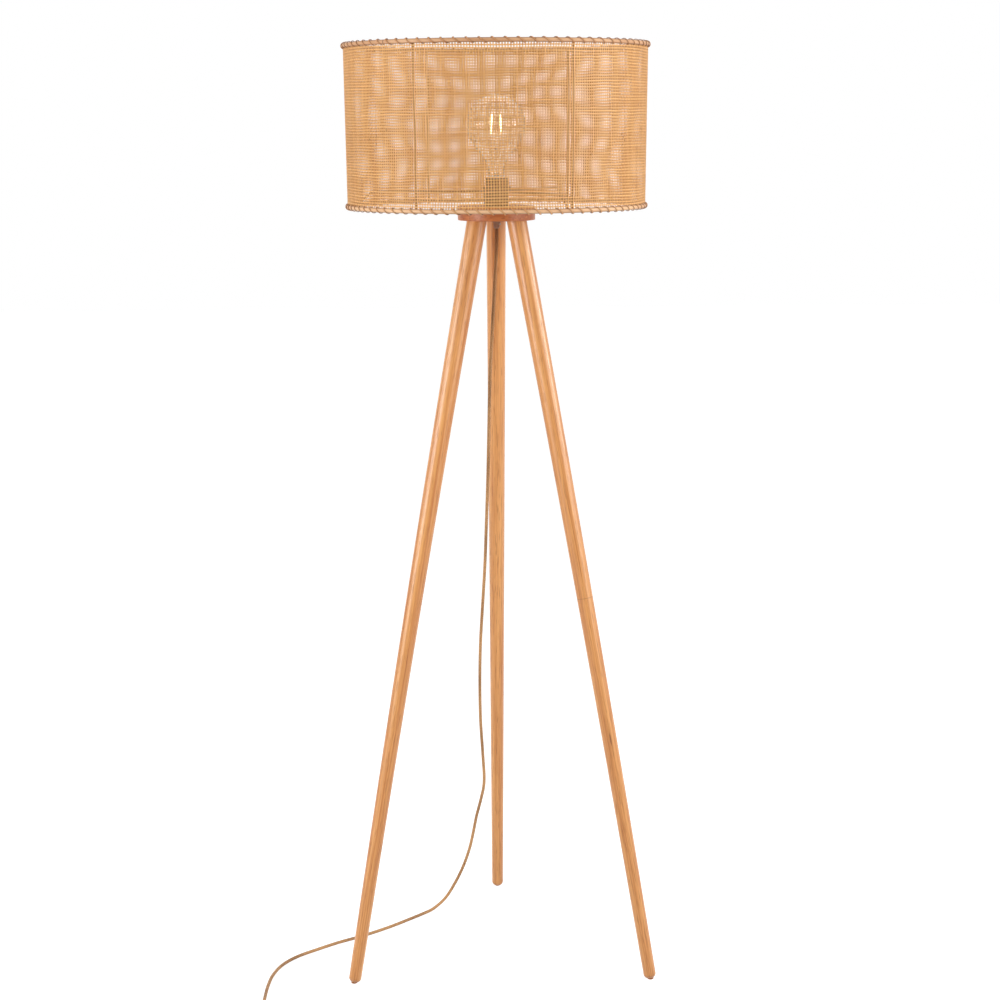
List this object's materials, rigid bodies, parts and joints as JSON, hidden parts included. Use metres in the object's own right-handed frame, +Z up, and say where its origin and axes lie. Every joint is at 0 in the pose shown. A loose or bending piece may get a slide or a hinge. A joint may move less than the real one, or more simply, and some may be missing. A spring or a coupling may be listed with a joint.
{
  "type": "floor lamp",
  "caption": "Floor lamp with a round drum shade of open woven cane on a splayed wooden tripod, with a globe bulb and a fabric covered cord.",
  "frame": {"origin": "middle of the lamp's bounding box without the cord, on the floor under the feet", "axes": "+Z up, -Y towards the side that the picture shows, +X to that side's right"},
  "size_m": [0.6582, 0.718, 1.5238],
  "materials": {
    "leg_wood": "satin lacquered honey hardwood with long open grain",
    "disc_wood": "satin lacquered reddish hardwood",
    "woven_cane": "natural split cane, open square weave, semi matte",
    "rim_cane": "split cane hoop and lashing, slightly darker, semi gloss",
    "frame_wire": "painted brown, satin",
    "steel": "zinc plated",
    "brass": "plain",
    "black_plastic": "moulded phenolic, satin",
    "porcelain": "glazed insulator",
    "grip_plastic": "moulded grey",
    "foot_pad": "matt",
    "bulb_glass": "clear",
    "bulb_cap": "plain",
    "filament": "lit, warm white",
    "cord_fabric": "braided textile sleeve",
    "wire_dark": "insulated lead",
    "wire_pale": "insulated lead",
    "tie": "hook and loop band",
    "plug_plastic": "moulded",
    "button_plastic": "moulded"
  },
  "bodies": {
    "lamp": {"leg_front_left": "leg_wood", "leg_front_right": "leg_wood", "leg_back": "leg_wood", "leg_bolt_front_left": "steel", "leg_bolt_front_right": "steel", "leg_bolt_back": "steel", "leg_insert_front_left": "brass", "leg_insert_front_right": "brass", "leg_insert_back": "brass", "foot_pad_front_left": "foot_pad", "foot_pad_front_right": "foot_pad", "foot_pad_back": "foot_pad", "top_disc": "disc_wood", "stem_nipple": "steel", "lock_nut": "steel", "lock_washer": "steel", "cord_grip": "grip_plastic", "cord_in_stem": "cord_fabric", "lead_live": "wire_dark", "lead_neutral": "wire_pale", "holder_cap": "black_plastic", "holder_barrel": "black_plastic", "holder_core": "porcelain", "screw_shell": "brass", "centre_contact": "brass", "terminal_screw_live": "brass", "terminal_screw_neutral": "brass", "shade_spider": "frame_wire", "rim_wire_top": "frame_wire", "rim_wire_bottom": "frame_wire", "shade_rib_1": "frame_wire", "shade_rib_2": "frame_wire", "shade_rib_3": "frame_wire", "shade_rib_4": "frame_wire", "shade_rib_5": "frame_wire", "shade_rib_6": "frame_wire", "rim_hoop_top": "rim_cane", "rim_hoop_bottom": "rim_cane", "rim_lashing_top": "rim_cane", "rim_lashing_bottom": "rim_cane", "shade_weave": "woven_cane", "cord_drop": "cord_fabric", "cord_tail": "cord_fabric", "cord_coil": "cord_fabric", "cord_tie": "tie", "plug_body": "plug_plastic", "plug_blade_left": "brass", "plug_blade_right": "brass", "switch_base": "plug_plastic", "switch_cover": "plug_plastic"},
    "bulb": {"bulb_glass": "bulb_glass", "bulb_cap": "bulb_cap", "bulb_stem": "bulb_glass", "filament_1": "filament", "filament_2": "filament", "filament_3": "filament", "filament_4": "filament"},
    "ring_nut": {"shade_ring_nut": "black_plastic"},
    "button": {"switch_button": "button_plastic"}
  },
  "joints": [
    {"name": "bulb_turn", "type": "hinge", "parent": "lamp", "child": "bulb", "pos_m": [0, -0.02382, 1.3], "axis": [0, 0, 1], "range_deg": [0, 360]},
    {"name": "ring_nut_turn", "type": "hinge", "parent": "lamp", "child": "ring_nut", "pos_m": [0, -0.02382, 1.294], "axis": [0, 0, 1], "range_deg": [0, 360]},
    {"name": "switch_press", "type": "slide", "parent": "lamp", "child": "button", "axis": [0, 0, -1], "range_m": [0, 0.003], "stiffness_N_per_m": 500, "springref_m": -0.002}
  ]
}
